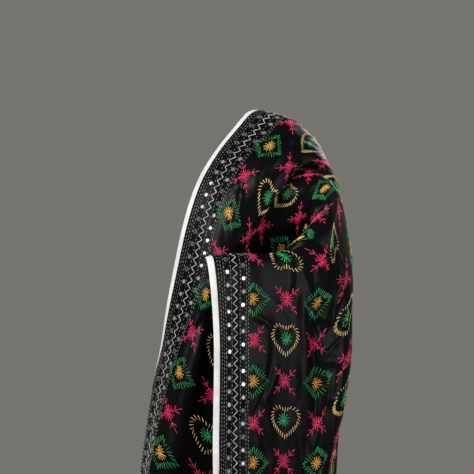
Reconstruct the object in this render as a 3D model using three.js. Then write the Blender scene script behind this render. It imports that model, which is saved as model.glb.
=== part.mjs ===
// Embroidered dupatta, draped over a shoulder and forearm and held there.
// Millimetres. +X is the wearer's left, -Y the front, +Z up. The origin is where the
// cloth rests on the shoulder beside the neck.
import * as THREE from "three";

// Sizes of the cloth
const clothWidth = 940;
const clothLength = 2200;
const clothWall = 1.5;
const trimWidth = 14;
const trimWall = 2.1;
const seamGap = 0.3;
const endGap = 0.45;

// Where the cloth is held, measured from the middle of the neck
const hold = { x: 70, y: 12, z: 3 };

// Where the shoulder stretch ends, along the cloth from the rest line (front is negative)
const frontSeam = -490;
const backSeam = 260;

// Lines across the cloth, from the neck edge (0) to the wrist edge (940).
// across = place in the width; x, y, z = where it lies, from the middle of the neck.
// Behind, where the cloth hangs lowest
const backLow = [
  { across: 0, x: -125, y: 158, z: -1500 },
  { across: 120, x: -38, y: 166, z: -1500 },
  { across: 240, x: 55, y: 160, z: -1500 },
  { across: 307, x: 105, y: 152, z: -1500 },
  { across: 375, x: 156, y: 140, z: -1500 },
  { across: 450, x: 196, y: 108, z: -1500 },
  { across: 505, x: 222, y: 76, z: -1500 },
  { across: 560, x: 226, y: 30, z: -1500 },
  { across: 604, x: 224, y: -8, z: -1500 },
  { across: 654, x: 218, y: -44, z: -1500 },
  { across: 743, x: 192, y: -104, z: -1500 },
  { across: 845, x: 148, y: -184, z: -1500 },
  { across: 940, x: 100, y: -259, z: -1500 },
];
// Behind, at the hip
const backHip = [
  { across: 0, x: -70, y: 146, z: -800 },
  { across: 120, x: 15, y: 152, z: -800 },
  { across: 240, x: 98, y: 155, z: -800 },
  { across: 307, x: 144, y: 151, z: -800 },
  { across: 375, x: 188, y: 142, z: -800 },
  { across: 450, x: 229, y: 115, z: -800 },
  { across: 505, x: 258, y: 82, z: -800 },
  { across: 560, x: 268, y: 39, z: -800 },
  { across: 604, x: 262, y: 4, z: -800 },
  { across: 654, x: 258, y: -28, z: -800 },
  { across: 743, x: 202, y: -98, z: -800 },
  { across: 845, x: 146, y: -180, z: -800 },
  { across: 940, x: 101, y: -260, z: -800 },
];
// Behind, at the shoulder blade and below the elbow
const backBlade = [
  { across: 0, x: 84, y: 86, z: -66 },
  { across: 120, x: 146, y: 108, z: -118 },
  { across: 240, x: 196, y: 124, z: -190 },
  { across: 307, x: 225, y: 128, z: -228 },
  { across: 375, x: 254, y: 126, z: -272 },
  { across: 450, x: 280, y: 116, z: -325 },
  { across: 505, x: 300, y: 86, z: -378 },
  { across: 560, x: 306, y: 42, z: -408 },
  { across: 604, x: 286, y: 8, z: -436 },
  { across: 654, x: 255, y: -28, z: -460 },
  { across: 743, x: 205, y: -91, z: -490 },
  { across: 845, x: 146, y: -178, z: -498 },
  { across: 940, x: 103, y: -262, z: -498 },
];
// Over the shoulder, round the elbow and along the forearm
const restLine = [
  { across: 0, x: 70, y: 12, z: 3 },
  { across: 120, x: 172, y: 8, z: -32 },
  { across: 240, x: 230, y: 24, z: -100 },
  { across: 307, x: 252, y: 46, z: -132 },
  { across: 375, x: 268, y: 62, z: -175 },
  { across: 450, x: 279, y: 52, z: -224 },
  { across: 505, x: 285, y: 25, z: -268 },
  { across: 560, x: 286, y: -8, z: -308 },
  { across: 604, x: 288, y: -26, z: -340 },
  { across: 654, x: 274, y: -32, z: -360 },
  { across: 743, x: 193, y: -80, z: -348 },
  { across: 845, x: 136, y: -160, z: -347 },
  { across: 940, x: 78, y: -249, z: -347 },
];
// Just in front of the rest line
const armLine = [
  { across: 0, x: 35, y: -22, z: -41 },
  { across: 120, x: 161, y: -42, z: -66 },
  { across: 240, x: 208, y: -44, z: -146 },
  { across: 307, x: 218, y: -34, z: -146 },
  { across: 375, x: 234, y: -16, z: -138 },
  { across: 450, x: 274, y: 6, z: -170 },
  { across: 505, x: 288, y: 7, z: -198 },
  { across: 560, x: 287, y: -7, z: -248 },
  { across: 604, x: 279, y: -25, z: -280 },
  { across: 654, x: 253, y: -51, z: -309 },
  { across: 743, x: 178, y: -80, z: -339 },
  { across: 845, x: 119, y: -148, z: -342 },
  { across: 940, x: 64, y: -236, z: -343 },
];
// Over the chest and down into the crook of the elbow
const chestLine = [
  { across: 0, x: -17, y: -116, z: -174 },
  { across: 120, x: 101, y: -118, z: -169 },
  { across: 240, x: 186, y: -86, z: -200 },
  { across: 307, x: 197, y: -76, z: -194 },
  { across: 375, x: 212, y: -64, z: -182 },
  { across: 450, x: 243, y: -37, z: -198 },
  { across: 505, x: 248, y: -20, z: -224 },
  { across: 560, x: 240, y: -21, z: -263 },
  { across: 604, x: 228, y: -36, z: -290 },
  { across: 654, x: 208, y: -56, z: -314 },
  { across: 743, x: 160, y: -58, z: -350 },
  { across: 845, x: 106, y: -136, z: -364 },
  { across: 940, x: 66, y: -218, z: -364 },
];
// In front, at the waist and behind the forearm
const waistLine = [
  { across: 0, x: -72, y: -146, z: -420 },
  { across: 120, x: 34, y: -160, z: -425 },
  { across: 240, x: 80, y: -98, z: -400 },
  { across: 307, x: 85, y: -84, z: -400 },
  { across: 375, x: 90, y: -70, z: -400 },
  { across: 450, x: 114, y: -18, z: -400 },
  { across: 505, x: 146, y: 32, z: -395 },
  { across: 560, x: 186, y: 66, z: -385 },
  { across: 604, x: 206, y: 36, z: -368 },
  { across: 654, x: 188, y: -2, z: -378 },
  { across: 743, x: 151, y: -44, z: -400 },
  { across: 845, x: 109, y: -138, z: -450 },
  { across: 940, x: 72, y: -214, z: -450 },
];
// In front, at the hip
const frontHip = [
  { across: 0, x: -134, y: -110, z: -680 },
  { across: 120, x: -50, y: -192, z: -700 },
  { across: 240, x: 62, y: -134, z: -720 },
  { across: 307, x: 78, y: -110, z: -720 },
  { across: 375, x: 96, y: -84, z: -720 },
  { across: 450, x: 130, y: -32, z: -720 },
  { across: 505, x: 162, y: 14, z: -720 },
  { across: 560, x: 198, y: 56, z: -720 },
  { across: 604, x: 224, y: 38, z: -720 },
  { across: 654, x: 208, y: -4, z: -720 },
  { across: 743, x: 166, y: -68, z: -720 },
  { across: 845, x: 118, y: -148, z: -720 },
  { across: 940, x: 78, y: -218, z: -720 },
];
// In front, where the cloth hangs lowest
const frontLow = [
  { across: 0, x: -232, y: -158, z: -1500 },
  { across: 120, x: -155, y: -246, z: -1500 },
  { across: 240, x: -45, y: -197, z: -1500 },
  { across: 307, x: 8, y: -150, z: -1500 },
  { across: 375, x: 61, y: -102, z: -1500 },
  { across: 450, x: 124, y: -55, z: -1500 },
  { across: 505, x: 172, y: -12, z: -1500 },
  { across: 560, x: 204, y: 36, z: -1500 },
  { across: 604, x: 226, y: 34, z: -1500 },
  { across: 654, x: 214, y: -6, z: -1500 },
  { across: 743, x: 172, y: -70, z: -1500 },
  { across: 845, x: 122, y: -146, z: -1500 },
  { across: 940, x: 80, y: -216, z: -1500 },
];
const lines = [backLow, backHip, backBlade, restLine, armLine, chestLine, waistLine, frontHip, frontLow];
const restIndex = lines.indexOf(restLine);

// The pleat that runs from the shoulder down the front of the arm
const pleat = {
  edge: 240, depth: 48, between: 66, turn: 14, drop: 26, recover: 120,
  fullFrom: -110, fullTo: -300, fade: 100, fadeLow: 170,
};

// Folds: across = where the crest lies at the rest line, drift = how far it wanders over a metre,
// width and height of the fold, from and to = its run along the cloth, soft = length of its ends
const folds = [
  { across: 165, drift: -30, width: 26, height: 7, from: -420, to: -40, soft: 90 },
  { across: 205, drift: 10, width: 16, height: 6, from: -330, to: -60, soft: 70 },
  { across: 60, drift: 0, width: 40, height: -5, from: -360, to: -120, soft: 90 },
  { across: 172, drift: 20, width: 24, height: 14, from: -1300, to: -480, soft: 140 },
  { across: 20, drift: 0, width: 30, height: 9, from: -1300, to: -620, soft: 120 },
  { across: 430, drift: 60, width: 24, height: 7, from: -260, to: -30, soft: 60 },
  { across: 700, drift: -60, width: 20, height: 8, from: 30, to: 1300, soft: 90 },
  { across: 640, drift: 70, width: 26, height: -9, from: 60, to: 700, soft: 110 },
  { across: 790, drift: 60, width: 30, height: 6, from: 60, to: 1300, soft: 130 },
  { across: 585, drift: 20, width: 24, height: 8, from: 120, to: 1300, soft: 140 },
  { across: 210, drift: 0, width: 90, height: 21, from: -10, to: 140, soft: 60 },
  { across: 60, drift: 0, width: 110, height: 12, from: -10, to: 120, soft: 40 },
  { across: 560, drift: 0, width: 60, height: 17, from: 190, to: 560, soft: 150 },
];
// Flutes that take up the fullness of the hanging parts: from and to along the cloth where they
// reach their full height, first and last across the width, count of flutes
const flutes = [
  { name: "front", from: -520, to: -900, first: 230, last: 900, count: 8, height: 9 },
  { name: "back", from: 240, to: 620, first: 20, last: 520, count: 7, height: 15 },
  { name: "panel", from: 420, to: 1000, first: 520, last: 930, count: 4, height: 6 },
];

const clamp = (x, a, b) => Math.min(b, Math.max(a, x));
const ease = (x) => { const f = clamp(x, 0, 1); return f * f * (3 - 2 * f); };

// Smooth value through the rows of a table, at a place across the cloth
function along(table, across, key) {
  let i = 0;
  while (i < table.length - 2 && across > table[i + 1].across) i++;
  const row = (k) => table[clamp(k, 0, table.length - 1)];
  const [p0, p1, p2, p3] = [row(i - 1), row(i), row(i + 1), row(i + 2)];
  const span = p2.across - p1.across;
  const f = clamp((across - p1.across) / span, 0, 1);
  const slope = (a, b, c) => (c.across === a.across ? 0 : (c[key] - a[key]) / (c.across - a.across)) * span;
  const m1 = slope(p0, p1, p2), m2 = slope(p1, p2, p3);
  const f2 = f * f, f3 = f2 * f;
  return (2 * f3 - 3 * f2 + 1) * p1[key] + (f3 - 2 * f2 + f) * m1 + (3 * f2 - 2 * f3) * p2[key] + (f3 - f2) * m2;
}

// A thread along the length at one place across, cut to length by measuring along it
function thread(across, step) {
  const knots = lines.map((line) => new THREE.Vector3(...["x", "y", "z"].map((key) => along(line, across, key))));
  const curve = new THREE.CatmullRomCurve3(knots, false, "centripetal");
  const pieces = (knots.length - 1) * 40;
  const dense = [], reach = [0];
  for (let i = 0; i <= pieces; i++) {
    dense.push(curve.getPoint(i / pieces));
    if (i) reach.push(reach[i - 1] + dense[i].distanceTo(dense[i - 1]));
  }
  const zero = reach[restIndex * 40];
  const half = clothLength / 2;
  const points = [];
  let k = 1;
  for (let place = half; place >= -half - 1e-6; place -= step) {
    const wanted = zero - place;
    while (k < pieces && reach[k] < wanted) k++;
    points.push(dense[k - 1].clone().lerp(dense[k], (wanted - reach[k - 1]) / (reach[k] - reach[k - 1])));
  }
  return points.reverse();
}

const netStep = { across: 10, length: 10 };
const net = [];
for (let a = 0; a <= clothWidth; a += netStep.across) net.push(thread(a, netStep.length));
// Two light passes even out the net between the lines
for (let pass = 0; pass < 2; pass++) {
  const old = net.map((column) => column.map((p) => p.clone()));
  for (let i = 1; i < net.length - 1; i++) for (let j = 1; j < net[i].length - 1; j++) {
    const mean = old[i - 1][j].clone().add(old[i + 1][j]).add(old[i][j - 1]).add(old[i][j + 1]).multiplyScalar(0.25);
    net[i][j].lerp(mean, 0.4);
  }
}

const cubic = (a, b, c, d, f) =>
  0.5 * (2 * b + (c - a) * f + (2 * a - 5 * b + 4 * c - d) * f * f + (3 * b - a - 3 * c + d) * f * f * f);

// The even cloth, without its pleat and folds
function base(across, place) {
  const fa = clamp(across / netStep.across, 0, net.length - 1);
  const fb = clamp((place + clothLength / 2) / netStep.length, 0, net[0].length - 1);
  const i = Math.min(Math.floor(fa), net.length - 2), j = Math.min(Math.floor(fb), net[0].length - 2);
  const at = (k, m) => net[clamp(k, 0, net.length - 1)][clamp(m, 0, net[0].length - 1)];
  const value = (key) => cubic(...[-1, 0, 1, 2].map((k) =>
    cubic(...[-1, 0, 1, 2].map((m) => at(i + k, j + m)[key]), fb - j)), fa - i);
  return new THREE.Vector3(value("x"), value("y"), value("z"));
}

// How far the pleat moves the cloth sideways and outwards
function pleatShift(across, place) {
  const strength = ease((pleat.fullFrom + pleat.fade - place) / pleat.fade)
    * ease((place - pleat.fullTo + pleat.fadeLow) / pleat.fadeLow);
  if (strength <= 0) return { side: 0, out: 0 };
  const { edge, depth, between, turn, drop, recover } = pleat;
  const corner = (x) => 0.5 * (x + Math.sqrt(x * x + turn * turn * 0.16));
  const x = across - edge;
  const side = (depth / between) * (2 * corner(x - between) - corner(x) - corner(x - 2 * between));
  const roll = turn + (between - turn) * (1 - strength);
  const fall = ease((x + roll / 2) / roll) + ease((x - between + roll / 2) / roll);
  const back = ease((x - 2 * between) / recover);
  return { side: strength * strength * side, out: Math.sqrt(strength) * drop * (back - 0.5 * fall) };
}

// How far the folds and flutes stand out from the even cloth
function foldHeight(across, place) {
  let sum = 0;
  for (const f of folds) {
    const run = ease((place - f.from) / f.soft) * ease((f.to - place) / f.soft);
    const x = (across - f.across - (f.drift * place) / 1000) / f.width;
    if (run > 0 && Math.abs(x) < 3) sum += f.height * run * Math.exp(-x * x);
  }
  for (const f of flutes) {
    const grown = ease((place - f.from) / (f.to - f.from));
    const inside = ease((across - f.first) / 50) * ease((f.last - across) / 50);
    const turn = (across - f.first) / (f.last - f.first);
    const wander = 0.35 * Math.sin(5.1 * turn + 0.0021 * place) + 0.2 * Math.sin(11.3 * turn);
    sum += f.height * grown * inside * Math.sin(2 * Math.PI * (f.count * turn + wander));
  }
  return sum;
}

// The cloth's middle surface
function surface(across, place) {
  const p = base(across, place);
  const e = 8;
  const side = base(across + e, place).sub(base(across - e, place));
  const run = base(across, place + e).sub(base(across, place - e));
  const out = new THREE.Vector3().crossVectors(side, run).normalize();
  p.addScaledVector(out, foldHeight(across, place));
  const shift = pleatShift(across, place);
  if (!shift.side && !shift.out) return p;
  const middle = pleat.edge + pleat.between, reach = 1.3 * pleat.between;
  const over = base(middle + reach, place).sub(base(middle - reach, place)).normalize();
  const fall = base(middle, place + 12).sub(base(middle, place - 12));
  const outward = new THREE.Vector3().crossVectors(over, fall).normalize();
  return p.addScaledVector(over, shift.side).addScaledVector(outward, shift.out);
}

// Places across the cloth where the shell has a vertex: even, and close at the pleat's two turns
function crossPlaces() {
  const places = [];
  const turns = [pleat.edge, pleat.edge + pleat.between];
  let a = trimWidth + seamGap;
  const last = clothWidth - trimWidth - seamGap;
  while (a < last - 4) {
    places.push(a);
    const near = Math.min(...turns.map((t) => Math.abs(a - t)));
    a += near < 9 ? 3.2 : near < 16 ? 6 : Math.min(19.5, Math.max(6, near - 12));
  }
  places.push(last);
  return places;
}
// Places along the cloth, closer over the shoulder and the elbow than in the hanging ends
function lengthPlaces(from, to) {
  const places = [];
  const count = Math.max(1, Math.round((to - from) / (from >= frontSeam && to <= backSeam ? 25 : 55)));
  for (let i = 0; i <= count; i++) places.push(from + ((to - from) * i) / count);
  return places;
}

// One closed shell of cloth between places across and places along, wall on either side of the surface
function shell(name, across, along, wall, colour) {
  const positions = [], index = [];
  const columns = across.length, rows = along.length;
  const e = 1.5;
  for (const sign of [1, -1]) for (const place of along) for (const a of across) {
    const p = surface(a, place);
    const side = surface(a + e, place).sub(surface(a - e, place));
    const run = surface(a, place + e).sub(surface(a, place - e));
    p.addScaledVector(run.cross(side).normalize(), (sign * wall) / 2).sub(hold);
    positions.push(p.x, p.y, p.z);
  }
  const at = (layer, j, i) => layer * rows * columns + j * columns + i;
  const quad = (a, b, c, d) => index.push(a, b, c, a, c, d);
  for (let j = 0; j < rows - 1; j++) for (let i = 0; i < columns - 1; i++) {
    quad(at(0, j, i), at(0, j + 1, i), at(0, j + 1, i + 1), at(0, j, i + 1));
    quad(at(1, j, i), at(1, j, i + 1), at(1, j + 1, i + 1), at(1, j + 1, i));
  }
  for (let i = 0; i < columns - 1; i++) {
    quad(at(0, 0, i), at(0, 0, i + 1), at(1, 0, i + 1), at(1, 0, i));
    quad(at(0, rows - 1, i), at(1, rows - 1, i), at(1, rows - 1, i + 1), at(0, rows - 1, i + 1));
  }
  for (let j = 0; j < rows - 1; j++) {
    quad(at(0, j, 0), at(1, j, 0), at(1, j + 1, 0), at(0, j + 1, 0));
    quad(at(0, j, columns - 1), at(0, j + 1, columns - 1), at(1, j + 1, columns - 1), at(1, j, columns - 1));
  }
  const geometry = new THREE.BufferGeometry();
  geometry.setAttribute("position", new THREE.Float32BufferAttribute(positions, 3));
  geometry.setIndex(index);
  geometry.computeVertexNormals();
  const mesh = new THREE.Mesh(geometry, new THREE.MeshStandardMaterial({ color: colour, roughness: 0.6 }));
  mesh.name = name;
  return mesh;
}

const end = clothLength / 2;
const panels = crossPlaces();
const neckTrim = [0, trimWidth];
const wristTrim = [clothWidth - trimWidth, clothWidth];
const frontPlaces = lengthPlaces(-end + trimWidth + endGap, frontSeam - seamGap / 2);
const shoulderPlaces = lengthPlaces(frontSeam + seamGap / 2, backSeam - seamGap / 2);
const backPlaces = lengthPlaces(backSeam + seamGap / 2, end - trimWidth - endGap);
const black = 0x15161a, white = 0xe9e7e2;

const dupatta = new THREE.Group();
dupatta.name = "embroidered_dupatta";
dupatta.add(
  shell("front_fall", panels, frontPlaces, clothWall, black),
  shell("shoulder_stretch", panels, shoulderPlaces, clothWall, black),
  shell("back_fall", panels, backPlaces, clothWall, black),
  shell("neck_trim_front", neckTrim, frontPlaces, trimWall, white),
  shell("neck_trim_shoulder", neckTrim, shoulderPlaces, trimWall, white),
  shell("neck_trim_back", neckTrim, backPlaces, trimWall, white),
  shell("wrist_trim_front", wristTrim, frontPlaces, trimWall, white),
  shell("wrist_trim_shoulder", wristTrim, shoulderPlaces, trimWall, white),
  shell("wrist_trim_back", wristTrim, backPlaces, trimWall, white),
  shell("end_trim_front", [0, ...panels, clothWidth], [-end, -end + trimWidth], trimWall, white),
  shell("end_trim_back", [0, ...panels, clothWidth], [end - trimWidth, end], trimWall, white),
);

export default dupatta;
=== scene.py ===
"""Embroidered dupatta: black silk cloth draped over a shoulder and forearm, white edging and embroidery."""
from math import cos, pi, radians, sin

import bpy
import numpy as np
from bpy.props import FloatProperty, FloatVectorProperty, PointerProperty
from bpy.types import Operator, Panel, PropertyGroup
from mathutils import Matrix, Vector


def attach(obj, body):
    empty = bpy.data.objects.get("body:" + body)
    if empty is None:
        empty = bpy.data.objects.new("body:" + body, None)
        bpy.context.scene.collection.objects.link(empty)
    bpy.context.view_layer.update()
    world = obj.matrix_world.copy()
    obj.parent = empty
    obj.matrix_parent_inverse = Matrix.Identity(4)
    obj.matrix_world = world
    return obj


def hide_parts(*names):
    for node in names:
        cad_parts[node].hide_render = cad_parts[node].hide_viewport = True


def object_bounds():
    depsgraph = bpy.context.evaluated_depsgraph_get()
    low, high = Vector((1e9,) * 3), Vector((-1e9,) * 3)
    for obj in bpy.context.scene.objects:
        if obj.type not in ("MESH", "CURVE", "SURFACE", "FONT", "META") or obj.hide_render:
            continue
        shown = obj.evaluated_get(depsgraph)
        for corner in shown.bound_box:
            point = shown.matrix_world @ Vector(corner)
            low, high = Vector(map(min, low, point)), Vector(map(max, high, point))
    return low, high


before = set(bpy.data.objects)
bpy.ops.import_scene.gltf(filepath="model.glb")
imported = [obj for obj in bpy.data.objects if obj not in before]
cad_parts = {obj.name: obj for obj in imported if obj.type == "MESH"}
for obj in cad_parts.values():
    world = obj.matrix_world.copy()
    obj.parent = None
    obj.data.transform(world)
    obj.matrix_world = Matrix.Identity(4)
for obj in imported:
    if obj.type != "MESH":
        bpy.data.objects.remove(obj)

bl_info = {
    "name": "Embroidered dupatta",
    "version": (1, 0, 0),
    "blender": (4, 5, 0),
    "location": "3D View > Sidebar > Dupatta",
    "description": "Draped silk cloth with a pleat and creases, white edging and embroidery",
    "category": "Object",
}

CAD_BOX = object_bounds()
MM = 0.001

# Places along the cloth, in millimetres, run from the rest line on the shoulder: the front is
# negative, the back positive. Places across run from the neck edge to the wrist edge.
CLOTH_WIDTH = 940
CLOTH_LENGTH = 2200
TRIM_WIDTH = 14
FRONT_SEAM = -490
BACK_SEAM = 260

# Where the cloth rests beside the neck, from the middle of the neck
HOLD = (70, 12, 3)

# Places across the cloth, and where each line across it lies there: x, y, z from the middle of the neck
ACROSS = (0, 120, 240, 307, 375, 450, 505, 560, 604, 654, 743, 845, 940)
LINES = (
    (  # behind, lowest
        (-125, 158, -1500), (-38, 166, -1500), (55, 160, -1500), (105, 152, -1500),
        (156, 140, -1500), (196, 108, -1500), (222, 76, -1500), (226, 30, -1500), (224, -8, -1500),
        (218, -44, -1500), (192, -104, -1500), (148, -184, -1500), (100, -259, -1500),
    ),
    (  # behind, at the hip
        (-70, 146, -800), (15, 152, -800), (98, 155, -800), (144, 151, -800), (188, 142, -800),
        (229, 115, -800), (258, 82, -800), (268, 39, -800), (262, 4, -800), (258, -28, -800),
        (202, -98, -800), (146, -180, -800), (101, -260, -800),
    ),
    (  # behind, at the shoulder blade
        (84, 86, -66), (146, 108, -118), (196, 124, -190), (225, 128, -228), (254, 126, -272),
        (280, 116, -325), (300, 86, -378), (306, 42, -408), (286, 8, -436), (255, -28, -460),
        (205, -91, -490), (146, -178, -498), (103, -262, -498),
    ),
    (  # over the shoulder and along the forearm
        (70, 12, 3), (172, 8, -32), (230, 24, -100), (252, 46, -132), (268, 62, -175),
        (279, 52, -224), (285, 25, -268), (286, -8, -308), (288, -26, -340), (274, -32, -360),
        (193, -80, -348), (136, -160, -347), (78, -249, -347),
    ),
    (  # just in front of the rest line
        (35, -22, -41), (161, -42, -66), (208, -44, -146), (218, -34, -146), (234, -16, -138),
        (274, 6, -170), (288, 7, -198), (287, -7, -248), (279, -25, -280), (253, -51, -309),
        (178, -80, -339), (119, -148, -342), (64, -236, -343),
    ),
    (  # over the chest to the crook of the elbow
        (-17, -116, -174), (101, -118, -169), (186, -86, -200), (197, -76, -194), (212, -64, -182),
        (243, -37, -198), (248, -20, -224), (240, -21, -263), (228, -36, -290), (208, -56, -314),
        (160, -58, -350), (106, -136, -364), (66, -218, -364),
    ),
    (  # at the waist and behind the forearm
        (-72, -146, -420), (34, -160, -425), (80, -98, -400), (85, -84, -400), (90, -70, -400),
        (114, -18, -400), (146, 32, -395), (186, 66, -385), (206, 36, -368), (188, -2, -378),
        (151, -44, -400), (109, -138, -450), (72, -214, -450),
    ),
    (  # in front, at the hip
        (-134, -110, -680), (-50, -192, -700), (62, -134, -720), (78, -110, -720), (96, -84, -720),
        (130, -32, -720), (162, 14, -720), (198, 56, -720), (224, 38, -720), (208, -4, -720),
        (166, -68, -720), (118, -148, -720), (78, -218, -720),
    ),
    (  # in front, lowest
        (-232, -158, -1500), (-155, -246, -1500), (-45, -197, -1500), (8, -150, -1500),
        (61, -102, -1500), (124, -55, -1500), (172, -12, -1500), (204, 36, -1500),
        (226, 34, -1500), (214, -6, -1500), (172, -70, -1500), (122, -146, -1500),
        (80, -216, -1500),
    ),
)
REST_LINE = 3

# The even net under the cloth: its step, the pieces of curve from one line to the next, and how
# often and how far a light pass pulls each place towards its neighbours
NET_STEP, CURVE_PIECES, NET_PASSES, NET_PULL = 10.0, 40, 2, 0.4

# The grid of the cloth: steps across at the pleat's two turns, near them and elsewhere, how near
# that is, and the rows along each of the three parts
STEP_AT_TURN, STEP_NEAR_TURN, STEP_FREE = 2.0, 3.2, 4.4
AT_TURN, NEAR_TURN = 9, 18
ROWS_FRONT, ROWS_SHOULDER, ROWS_BACK = 86, 172, 118
# The cloth ends this far inside its edging, and the edging this far inside the cut
EDGE_GAP = 0.3
# Two places this far to either side of a place give the direction across or along there
PROBE, PLEAT_PROBE = 8, 12

# The pleat that runs from the shoulder down the front of the arm
PLEAT_EDGE, PLEAT_DEPTH, PLEAT_BETWEEN, PLEAT_TURN = 240, 48, 66, 14
PLEAT_DROP, PLEAT_RECOVER, PLEAT_REACH, PLEAT_ROUNDNESS = 26, 120, 1.3, 0.16
PLEAT_FROM, PLEAT_TO, PLEAT_FADE, PLEAT_FADE_LOW = -110, -300, 100, 170

# Both long edges roll inwards over this width
NECK_ROLL, WRIST_ROLL, ROLL_WIDTH, ROLL_SOFTNESS = radians(16), radians(30), 16, 3

# Main folds: across, drift over a metre, width, height, from, to, softness of the ends
FOLDS = (
    (165, -30, 26, 7, -420, -40, 90),
    (205, 10, 16, 6, -330, -60, 70),
    (60, 0, 40, -5, -360, -120, 90),
    (172, 20, 24, 14, -1300, -480, 140),
    (20, 0, 30, 9, -1300, -620, 120),
    (430, 60, 24, 7, -260, -30, 60),
    (700, -60, 20, 8, 30, 1300, 90),
    (640, 70, 26, -9, 60, 700, 110),
    (790, 60, 30, 6, 60, 1300, 130),
    (585, 20, 24, 8, 120, 1300, 140),
    (210, 0, 90, 21, -10, 140, 60),
    (60, 0, 110, 12, -10, 120, 40),
    (560, 0, 60, 17, 190, 560, 150),
)
# Flutes of the hanging parts: along from none to full height, across from and to, count, height
FLUTES = (
    (-520, -900, 230, 900, 8, 9),
    (240, 620, 20, 520, 7, 15),
    (420, 1000, 520, 930, 4, 6),
)
# Creases that show from the front: across and along at both ends, width, height
CREASES = (
    (832, 138, 762, 196, 7, 3.0),
    (880, 60, 845, 130, 6, 2.0),
    (770, 250, 800, 330, 8, 2.2),
    (500, -120, 566, -66, 8, 2.4),
    (430, -40, 470, -150, 8, 2.2),
    (335, 20, 360, -90, 9, 2.2),
    (150, -30, 168, -150, 8, 2.6),
    (190, -20, 212, -120, 7, 2.4),
    (120, -200, 150, -330, 9, 2.0),
    (600, 70, 640, 200, 9, 2.6),
    (560, 30, 600, 130, 8, 2.4),
    (655, 330, 690, 470, 9, 2.0),
    (664, 140, 650, 390, 8, 6.5),
    (640, 140, 560, 225, 8, 3.4),
    (642, 235, 552, 330, 9, 3.2),
    (625, 335, 560, 430, 8, 2.8),
    (690, 15, 668, 150, 8, 3.2),
    (722, -5, 738, 120, 8, 2.6),
    (700, 420, 730, 560, 9, 2.6),
    (800, 380, 780, 520, 8, 2.0),
)
# Where the cloth's layers lie close together: across from and how softly, to and how softly, and
# the same along
CLOSE_LAYERS = (
    (195, 25, 430, 30, -500, 40, -60, 40),  # in the pleat
    (470, 40, 790, 40, -560, 50, -130, 50),  # in the crook of the elbow
)
# Half of the heart, charted in millimetres: across, up, and the turn of each stitch. Its two
# tips follow, then half the length of a stitch and its width
HEART_HALF = (
    (7, 28.5, 74), (14.5, 32.5, 64), (22.5, 32, 48), (29.5, 28.5, 30), (33.5, 22, -2),
    (35, 15, -30), (34.5, 8, -42), (32.5, 1, -48), (29.5, -5.5, 96), (25.5, -11, 96),
    (21, -16.5, 96), (16.5, -22, 96), (11.5, -27, 97), (6, -31.5, 98),
)
HEART_TIPS, HEART_STITCH, HEART_WIDTH = ((0, 27, 90), (0, -35.5, 90)), 5.4, 1.9
# One arrow of a star that points to its middle: the ends of each stitch along and beside the arm
ARROW = (
    (9, 0, 20, 0), (20.5, 0, 31, 0), (31.5, 0, 42.5, 0),
    (21, 0.6, 30.5, 8.4), (21, -0.6, 30.5, -8.4),
)
ARROW_WIDTH = 2.0
# A diamond: strokes to a side, from its middle to a corner, how flat it is, how far the strokes of
# a side fan out in radians, half the length of a stroke and its width
DIAMOND_STROKES, DIAMOND_CORNER, DIAMOND_FLATNESS, DIAMOND_FAN = 8, 40, 0.87, 2.1
DIAMOND_STITCH, DIAMOND_WIDTH = 7.4, 1.15
# Bursts: rays, where a ray starts and stops, and its width
STAR_BURST, HEART_BURST, DIAMOND_BURST = (14, 1.2, 18, 1.85), (12, 1.0, 17, 1.7), (13, 1.2, 16.5, 1.9)
HEART_BURST_LIFT = 3
# Lines of the border, in millimetres from the long edge, and from the end of the cloth
RUNNING_LINES = (21, 27.5, 34, 50, 74, 90, 96)
MIRROR_LINES = (42, 82)
ZIGZAG = (54.5, 67)
END_LINES = (21, 27.5, 34, 50, 56)
END_MIRROR_LINE = 42
RUNNING_LENGTH, RUNNING_GAP, RUNNING_WIDTH, ZIGZAG_WIDTH = 5.4, 3.6, 0.95, 1.5
# Where running stitches start and stop: from the end edging, and from the long edges
RUNNING_ENDS, RUNNING_SIDES = (6, 8), (108.0, 112)
# Stitches round a mirror: how many, their ends as shares of the mirror's diameter, and their width
RING_STITCHES, RING_INNER, RING_OUTER, RING_WIDTH = 10, 0.43, 0.72, 1.1
# Columns of motifs across the cloth, rows either way from the rest line, and where the field stops
COLUMN_FIRST, COLUMN_STEP, COLUMNS = 124, 88.5, 9
ROWS_EACH_WAY = 10
FRONT_ROW, FRONT_ROW_STEP, BACK_ROW, BACK_ROW_STEP = -4, 96, 8, 93.4
FIELD_END = 842


def ease(x):
    """Smooth rise from 0 to 1."""
    f = np.clip(x, 0, 1)
    return f * f * (3 - 2 * f)


def unit(v):
    return v / np.maximum(np.linalg.norm(v, axis=-1, keepdims=True), 1e-12)


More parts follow.
